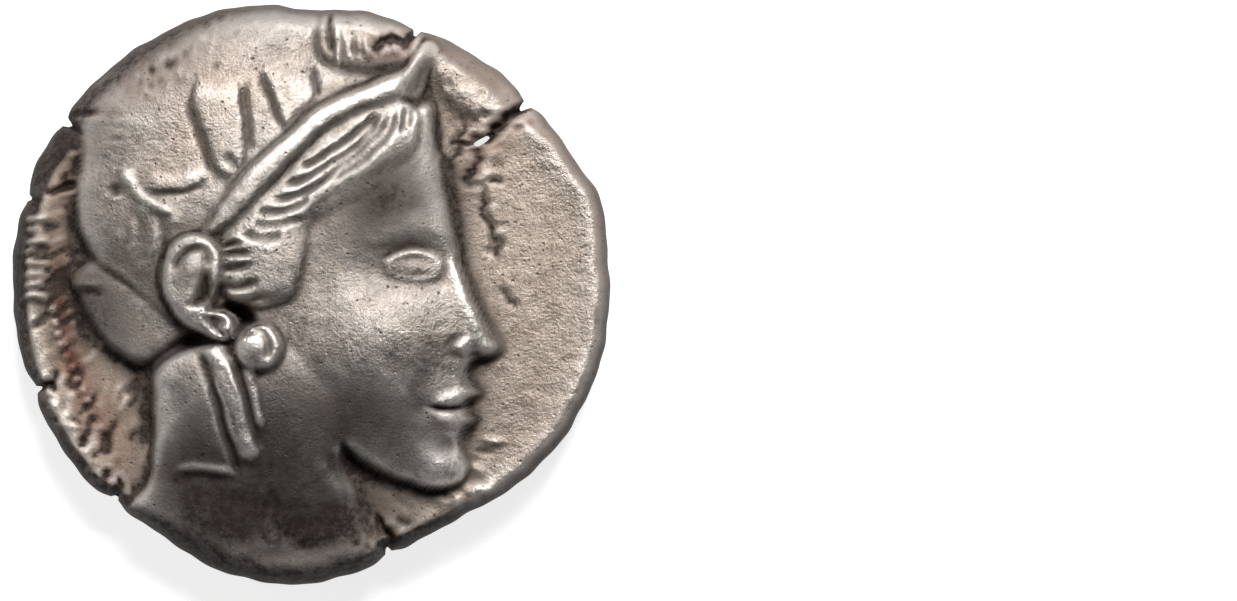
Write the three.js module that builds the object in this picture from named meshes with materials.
// A struck silver coin of four drachms, lying on its punched side with the struck head on top.
//
// The coin is one thick, hammered disc. Its outline is lobed and split by short edge cracks, its
// upper side carries a helmeted head in high relief, and its under side is a punched square with an
// owl in it, between the rounded ridges that the punch pushed up. Everything is one solid.
//
// Units are millimetres and +Z is up. Each side is drawn in its own flat coordinates, x to the right
// and y up as one looks straight at that side. The finished solid is moved so that the middle of its
// underside is the origin.

import * as THREE from "three";

// The flan: the round blank, and how far the blows pushed it up and down.
const MEAN_RADIUS = 12.28; // the outline before its lobes
const FIELD_TOP = 3.7; // the flat ground around the head, above the table
const GROUND_SWELL = 0.25; // how much the struck side domes towards its middle
const SPLIT_LINE = 1.95; // where the edge is widest, above the table
const UPPER_ROLL = 1.3; // width of the rounding at the edge of the struck side
const DIE_TURN = THREE.MathUtils.degToRad(195); // the punched side's turn against the struck one

// The punched square and the ridges around it.
const FLOOR_RISE = 1.7; // from the crests of the ridges up to the punched floor
const WALL_WIDTH = 0.7; // how far the punched wall leans out
const CREST_PLACE = 0.5; // where a ridge is highest, from its punched wall to the coin's edge
const CREST_SAG = 0.14; // how much lower a ridge is where it meets its punched wall
const WORN_DEPTH = 0.08; // how much of the crests is worn flat
const NARROW_PRIDE = 0.4; // how much prouder the narrowest ridge stands before it is worn
const NARROW_UNDER = 4; // width below which a ridge counts as narrow

// The head: hairline to brow, brow to nose and nose to chin are equal thirds of the face.
const FACE = 16;
const HAIRLINE = 7.5;
const BROW = HAIRLINE - FACE / 3;
const NOSE_BASE = BROW - FACE / 3;
const CHIN = NOSE_BASE - FACE / 3;

// The grid of one side: cells along each side of the square that is bent into the disc.
const CELLS = 48;
const EDGE_CROWDING = 0.25; // draws grid lines towards the edge, where the surface turns over
const PATCH = 0.28; // each grid point takes the mean height this far around it

// Swells and flats of the outline: middle in degrees, rise, and half-width in degrees.
const LOBES = [
  { at: 16, rise: 0.36, spread: 8 },
  { at: 353, rise: 0.41, spread: 27 },
  { at: 90, rise: -0.32, spread: 8 },
  { at: 72, rise: -0.41, spread: 27 },
  { at: 152, rise: 0.21, spread: 26 },
  { at: 236, rise: -0.31, spread: 10 },
  { at: 265, rise: 0.2, spread: 16 },
  { at: 299, rise: -0.79, spread: 19 },
];

// Cracks that open the edge: middle in degrees, depth, and half-width at the mouth.
const EDGE_CRACKS = [
  { at: 40, depth: 0.7, mouth: 0.45 },
  { at: 66, depth: 0.35, mouth: 0.4 },
  { at: 146, depth: 0.4, mouth: 0.4 },
  { at: 200, depth: 0.35, mouth: 0.4 },
  { at: 227, depth: 0.3, mouth: 0.4 },
  { at: 286, depth: 0.4, mouth: 0.4 },
];

// ---------------------------------------------------------------- curves and profiles

const CURVE_STEPS = 6; // straight pieces between two points of a drawn curve

const clamp01 = (t) => Math.min(1, Math.max(0, t));

// Rises from 0 to 1 like a quarter of a circle, steep at first and level at the end.
const shoulder = (t) => Math.sqrt(1 - (1 - clamp01(t)) ** 2);

// Rises from 0 to 1 with level ends.
const easing = (t) => THREE.MathUtils.smoothstep(t, 0, 1);

function drawnCurve(points, closed) {
  const knots = points.map(([x, y]) => new THREE.Vector3(x, y, 0));
  const curve = new THREE.CatmullRomCurve3(knots, closed, "centripetal");
  return curve.getPoints(CURVE_STEPS * points.length);
}

// Shortest distance from (x, y) to a chain of points.
function distanceTo(chain, x, y) {
  let nearest = Infinity;
  for (let i = 1; i < chain.length; i++) {
    const a = chain[i - 1];
    const b = chain[i];
    const dx = b.x - a.x;
    const dy = b.y - a.y;
    const along = clamp01(((x - a.x) * dx + (y - a.y) * dy) / (dx * dx + dy * dy || 1));
    nearest = Math.min(nearest, Math.hypot(x - a.x - along * dx, y - a.y - along * dy));
  }
  return nearest;
}

function isInside(chain, x, y) {
  let inside = false;
  for (let i = 1; i < chain.length; i++) {
    const a = chain[i - 1];
    const b = chain[i];
    const crosses = a.y > y !== b.y > y;
    if (crosses && x < a.x + ((y - a.y) / (b.y - a.y)) * (b.x - a.x)) inside = !inside;
  }
  return inside;
}

// A cushion over a closed outline: it rises over the width of its rim and stays level inside.
function cushion(points, { rise, rim }) {
  const chain = drawnCurve(points, true);
  return (x, y) => (isInside(chain, x, y) ? rise * shoulder(distanceTo(chain, x, y) / rim) : 0);
}

// A round cord along an open line.
function cord(points, { rise, halfWidth }) {
  const chain = drawnCurve(points, false);
  return (x, y) => rise * shoulder(1 - distanceTo(chain, x, y) / halfWidth);
}

// A round boss.
function boss([cx, cy], { rise, radius }) {
  return (x, y) => rise * shoulder(1 - Math.hypot(x - cx, y - cy) / radius);
}

const highest = (forms) => (x, y) => forms.reduce((top, form) => Math.max(top, form(x, y)), 0);
const stacked = (forms) => (x, y) => forms.reduce((sum, form) => sum + form(x, y), 0);

// ---------------------------------------------------------------- the struck side

// The masses of the head, which faces right.
function headForms() {
  const face = [
    [4.9, HAIRLINE],
    [6.2, BROW + 0.3],
    [7.3, (BROW + NOSE_BASE) / 2],
    [8.2, NOSE_BASE + 0.8],
    [6.8, NOSE_BASE],
    [7.1, NOSE_BASE - 1.4],
    [6.6, NOSE_BASE - 2.9],
    [6.9, CHIN + 1.4],
    [5.6, CHIN + 0.1],
    [3.2, CHIN + 0.6],
    [0.6, CHIN + 2.7],
    [-2.0, CHIN + 6.5],
    [-2.6, BROW],
  ];
  const bowl = [
    [-4.4, -2.7],
    [-6.6, -3.1],
    [-8.8, -1.5],
    [-9.7, 2.1],
    [-9.2, 5.6],
    [-7.0, 8.1],
    [-4.1, 9.5],
    [-0.9, 9.9],
    [2.8, 8.9],
    [4.6, 7.6],
    [1.0, 3.0],
    [-3.0, -0.8],
  ];
  const neck = [
    [-6.4, -2.4],
    [-6.5, -5.3],
    [-6.7, -7.6],
    [-8.6, -9.0],
    [-5.0, -12.5],
    [3.4, -12.5],
    [2.9, -9.6],
    [1.5, -7.4],
    [2.0, -3.0],
    [-2.0, -1.0],
  ];
  const hair = [
    [5.1, 7.6],
    [4.7, 6.4],
    [2.4, 4.0],
    [0.4, 2.3],
    [0.1, 0.2],
    [-1.6, -0.9],
    [-3.3, -0.1],
    [-3.4, 2.2],
    [0.1, 6.0],
  ];
  return highest([
    cushion(face, { rise: 2.1, rim: 3.6 }),
    cushion(bowl, { rise: 1.85, rim: 4.5 }),
    cushion(neck, { rise: 1.3, rim: 2.2 }),
    cushion(hair, { rise: 2.35, rim: 1.8 }),
  ]);
}

// What stands up from the head: visor, leaves, guard, ear, earring and the locks on the neck.
function headTrim() {
  const visor = [
    [-3.8, 2.2],
    [-1.2, 5.2],
    [1.6, 7.5],
    [4.3, 8.8],
    [5.2, 9.7],
  ];
  const guardEdge = [
    [-9.1, 1.4],
    [-7.3, -0.2],
    [-5.8, -1.4],
  ];
  const firstLeaf = [
    [-3.3, 5.2],
    [-3.8, 8.6],
  ];
  const secondLeaf = [
    [-0.6, 7.0],
    [-0.9, 9.3],
  ];
  const ear = [
    [-3.6, 1.6],
    [-5.2, 1.6],
    [-5.5, 0.0],
    [-4.9, -1.1],
    [-3.4, -1.9],
  ];
  const locks = [
    [-3.9, -2.6],
    [-3.1, -5.2],
    [-2.2, -7.6],
  ];
  return stacked([
    cord(visor, { rise: 0.5, halfWidth: 0.9 }),
    cord(guardEdge, { rise: 0.3, halfWidth: 0.7 }),
    cord(firstLeaf, { rise: 0.4, halfWidth: 1 }),
    cord(secondLeaf, { rise: 0.4, halfWidth: 1 }),
    cord(ear, { rise: 0.4, halfWidth: 0.7 }),
    boss([-2.0, -2.5], { rise: 0.8, radius: 1.3 }),
    cord(locks, { rise: 0.4, halfWidth: 0.8 }),
  ]);
}

// The rim of the crest lies on the open ground behind the bowl.
function crestForm() {
  const crest = [
    [-10.6, 0.4],
    [-10.7, 3.5],
    [-9.7, 6.7],
    [-7.2, 9.0],
    [-4.0, 10.4],
    [-0.6, 10.9],
  ];
  return cord(crest, { rise: 0.3, halfWidth: 0.8 });
}

// ---------------------------------------------------------------- the punched side

// Distance out from the floor of the punched square, whose lower corners are rounded off.
function beyondPunch() {
  const floor = [
    [-8.3, 6.9],
    [0, 7.2],
    [9.5, 7.1],
    [9.8, 6.6],
    [9.8, 0],
    [9.2, -5.3],
    [7.2, -7.5],
    [4.6, -9.3],
    [0.8, -9.9],
    [-3.9, -9.3],
    [-8.1, -7.2],
    [-8.2, 0],
  ];
  const chain = drawnCurve(floor, true);
  return (x, y) => (isInside(chain, x, y) ? 0 : distanceTo(chain, x, y));
}

function owlForms() {
  const body = [
    [-1.0, 2.0],
    [1.6, 2.6],
    [4.6, 1.5],
    [4.9, 0.2],
    [4.2, -1.6],
    [2.4, -3.8],
    [0.4, -5.3],
    [-1.8, -6.2],
    [-3.2, -4.6],
    [-5.9, -6.1],
    [-7.1, -5.0],
    [-5.6, -3.2],
    [-3.0, 0.2],
  ];
  const head = [
    [-1.1, 4.2],
    [-0.3, 5.6],
    [2.8, 6.2],
    [5.8, 5.8],
    [6.8, 3.9],
    [5.8, 1.9],
    [2.8, 1.5],
    [0.2, 1.9],
  ];
  return highest([
    cushion(body, { rise: 1.0, rim: 1.8 }),
    cushion(head, { rise: 0.75, rim: 1.1 }),
  ]);
}

function owlTrim() {
  const beak = [
    [2.85, 3.1],
    [2.9, 1.5],
  ];
  const wing = [
    [2.0, 0.9],
    [-1.2, -2.0],
    [-6.3, -5.4],
  ];
  const eyes = [1.1, 4.45].map((x) => boss([x, 4.4], { rise: 0.3, radius: 1.5 }));
  return stacked([
    ...eyes,
    cord(beak, { rise: 0.35, halfWidth: 0.8 }),
    cord(wing, { rise: 0.3, halfWidth: 1.2 }),
  ]);
}

// What stands on the punched floor beside the owl: legs, tail feather, ground, sprig and strokes.
function floorForms() {
  const legs = [-1.9, 0.6].map((x) => [
    [x, -5.6],
    [x + 0.1, -8.2],
  ]);
  const tailFeather = [
    [-4.4, -6.2],
    [-5.0, -7.3],
  ];
  const ground = [
    [-2.6, -8.9],
    [0.5, -9.1],
    [4.2, -8.8],
  ];
  const longLeaf = [
    [-6.1, 3.5],
    [-6.0, 1.0],
  ];
  const shortLeaf = [
    [-5.1, 5.8],
    [-3.2, 5.2],
  ];
  const strokes = [0.6, -3.2, -6.2].map((y) => [
    [7.0, y + 0.6],
    [8.7, y - 0.5],
  ]);
  const narrow = [...legs, tailFeather, ground, shortLeaf, ...strokes];
  return highest([
    ...narrow.map((line) => cord(line, { rise: 0.4, halfWidth: 0.75 })),
    cord(longLeaf, { rise: 0.4, halfWidth: 1 }),
    boss([-3.9, 3.8], { rise: 0.35, radius: 0.6 }),
  ]);
}

// ---------------------------------------------------------------- the flan

const turnedTo = (degrees) => THREE.MathUtils.euclideanModulo(degrees + 180, 360) - 180;

// Radius of the outline at an angle in radians.
function outlineRadius(angle) {
  const degrees = THREE.MathUtils.radToDeg(angle);
  let radius = MEAN_RADIUS;
  for (const { at, rise, spread } of LOBES) {
    radius += rise * Math.exp(-((turnedTo(degrees - at) / spread) ** 2));
  }
  for (const { at, depth, mouth } of EDGE_CRACKS) {
    const across = Math.abs(THREE.MathUtils.degToRad(turnedTo(degrees - at))) * MEAN_RADIUS;
    radius -= depth * clamp01(1 - across / mouth);
  }
  return radius;
}

const insetAt = (x, y) => Math.max(0, outlineRadius(Math.atan2(y, x)) - Math.hypot(x, y));

// Height of the struck surface above the table.
function struckSurface() {
  const head = headForms();
  const trim = headTrim();
  const crest = crestForm();
  return (x, y) => {
    const swell = GROUND_SWELL * (1 - (x * x + y * y) / MEAN_RADIUS ** 2);
    const mass = head(x, y);
    const relief = mass > 0 ? mass + trim(x, y) : crest(x, y);
    const height = FIELD_TOP + swell + relief - SPLIT_LINE;
    return SPLIT_LINE + height * shoulder(insetAt(x, y) / UPPER_ROLL);
  };
}

// Across a ridge, from 0 at the punched wall to 1 at the edge: its share of the full height.
function ridgeCrown(across) {
  if (across < CREST_PLACE) return 1 - CREST_SAG * ((CREST_PLACE - across) / CREST_PLACE) ** 2;
  return shoulder((1 - across) / (1 - CREST_PLACE));
}

// Height of the punched surface above the table, before its crests are worn flat.
function punchedSurface() {
  const beyond = beyondPunch();
  const owl = owlForms();
  const trim = owlTrim();
  const floorWork = floorForms();
  return (x, y) => {
    const u = Math.cos(DIE_TURN) * x + Math.sin(DIE_TURN) * y;
    const v = Math.sin(DIE_TURN) * x - Math.cos(DIE_TURN) * y;
    const inset = insetAt(x, y);
    const out = beyond(u, v);
    const mass = owl(u, v);
    const relief = Math.max(mass > 0 ? mass + trim(u, v) : 0, floorWork(u, v));
    const width = Math.max(out + inset, 1e-6);
    const proud = WORN_DEPTH + NARROW_PRIDE * clamp01(1 - width / NARROW_UNDER);
    const ridge = SPLIT_LINE - (SPLIT_LINE + proud) * ridgeCrown(out / width);
    return THREE.MathUtils.lerp(FLOOR_RISE - relief, ridge, easing(out / WALL_WIDTH));
  };
}

// The mean height over a small patch, so that narrow forms keep their breadth on the grid.
function patchMean(surface) {
  const steps = [-PATCH, 0, PATCH];
  return (x, y) => {
    let sum = 0;
    for (const dx of steps) {
      for (const dy of steps) sum += surface(x + dx, y + dy);
    }
    return sum / steps.length ** 2;
  };
}

// Bends the square from -1 to 1 into the unit disc.
function discPoint(a, b) {
  if (a === 0 && b === 0) return { reach: 0, angle: 0 };
  const wide = Math.abs(a) > Math.abs(b);
  const reach = wide ? a : b;
  const angle = wide ? (Math.PI / 4) * (b / a) : Math.PI / 2 - (Math.PI / 4) * (a / b);
  return { reach: Math.abs(reach), angle: reach < 0 ? angle + Math.PI : angle };
}

// One closed surface: both sides use the same grid, and share its outermost ring of points.
function coinGeometry() {
  const struck = patchMean(struckSurface());
  const punched = patchMean(punchedSurface());
  const vertices = [];
  const upper = [];
  const lower = [];
  for (let i = 0; i <= CELLS; i++) {
    for (let j = 0; j <= CELLS; j++) {
      const { reach, angle } = discPoint((2 * i) / CELLS - 1, (2 * j) / CELLS - 1);
      const spread = ((1 + EDGE_CROWDING) * reach) / (1 + EDGE_CROWDING * reach);
      const x = outlineRadius(angle) * spread * Math.cos(angle);
      const y = outlineRadius(angle) * spread * Math.sin(angle);
      const onEdge = i === 0 || j === 0 || i === CELLS || j === CELLS;
      upper.push(vertices.length / 3);
      vertices.push(x, y, onEdge ? SPLIT_LINE : struck(x, y));
      lower.push(onEdge ? upper.at(-1) : vertices.length / 3);
      if (!onEdge) vertices.push(x, y, Math.max(0, punched(x, y)));
    }
  }

  const indices = [];
  for (let i = 0; i < CELLS; i++) {
    for (let j = 0; j < CELLS; j++) {
      const near = i * (CELLS + 1) + j;
      const far = near + CELLS + 1;
      const corners = [near, far, far + 1, near + 1];
      // The diagonal runs out from the middle, so that no cell folds flat where the disc bends.
      const outward = i < CELLS / 2 !== j < CELLS / 2;
      const [a, b, c, d] = outward ? [...corners.slice(1), corners[0]] : corners;
      indices.push(upper[a], upper[b], upper[c], upper[a], upper[c], upper[d]);
      indices.push(lower[a], lower[c], lower[b], lower[a], lower[d], lower[c]);
    }
  }

  const geometry = new THREE.BufferGeometry();
  geometry.setAttribute("position", new THREE.Float32BufferAttribute(vertices, 3));
  geometry.setIndex(indices);
  geometry.computeBoundingBox();
  const { min, max } = geometry.boundingBox;
  geometry.translate(-(min.x + max.x) / 2, -(min.y + max.y) / 2, -min.z);
  geometry.computeVertexNormals();
  return geometry;
}

// ---------------------------------------------------------------- the coin

const silver = new THREE.MeshStandardMaterial({
  color: new THREE.Color(0.52, 0.48, 0.44),
  roughness: 0.42,
  metalness: 0.9,
});

const coin = new THREE.Mesh(coinGeometry(), silver);
coin.name = "coin";

const part = new THREE.Group();
part.add(coin);
export default part;
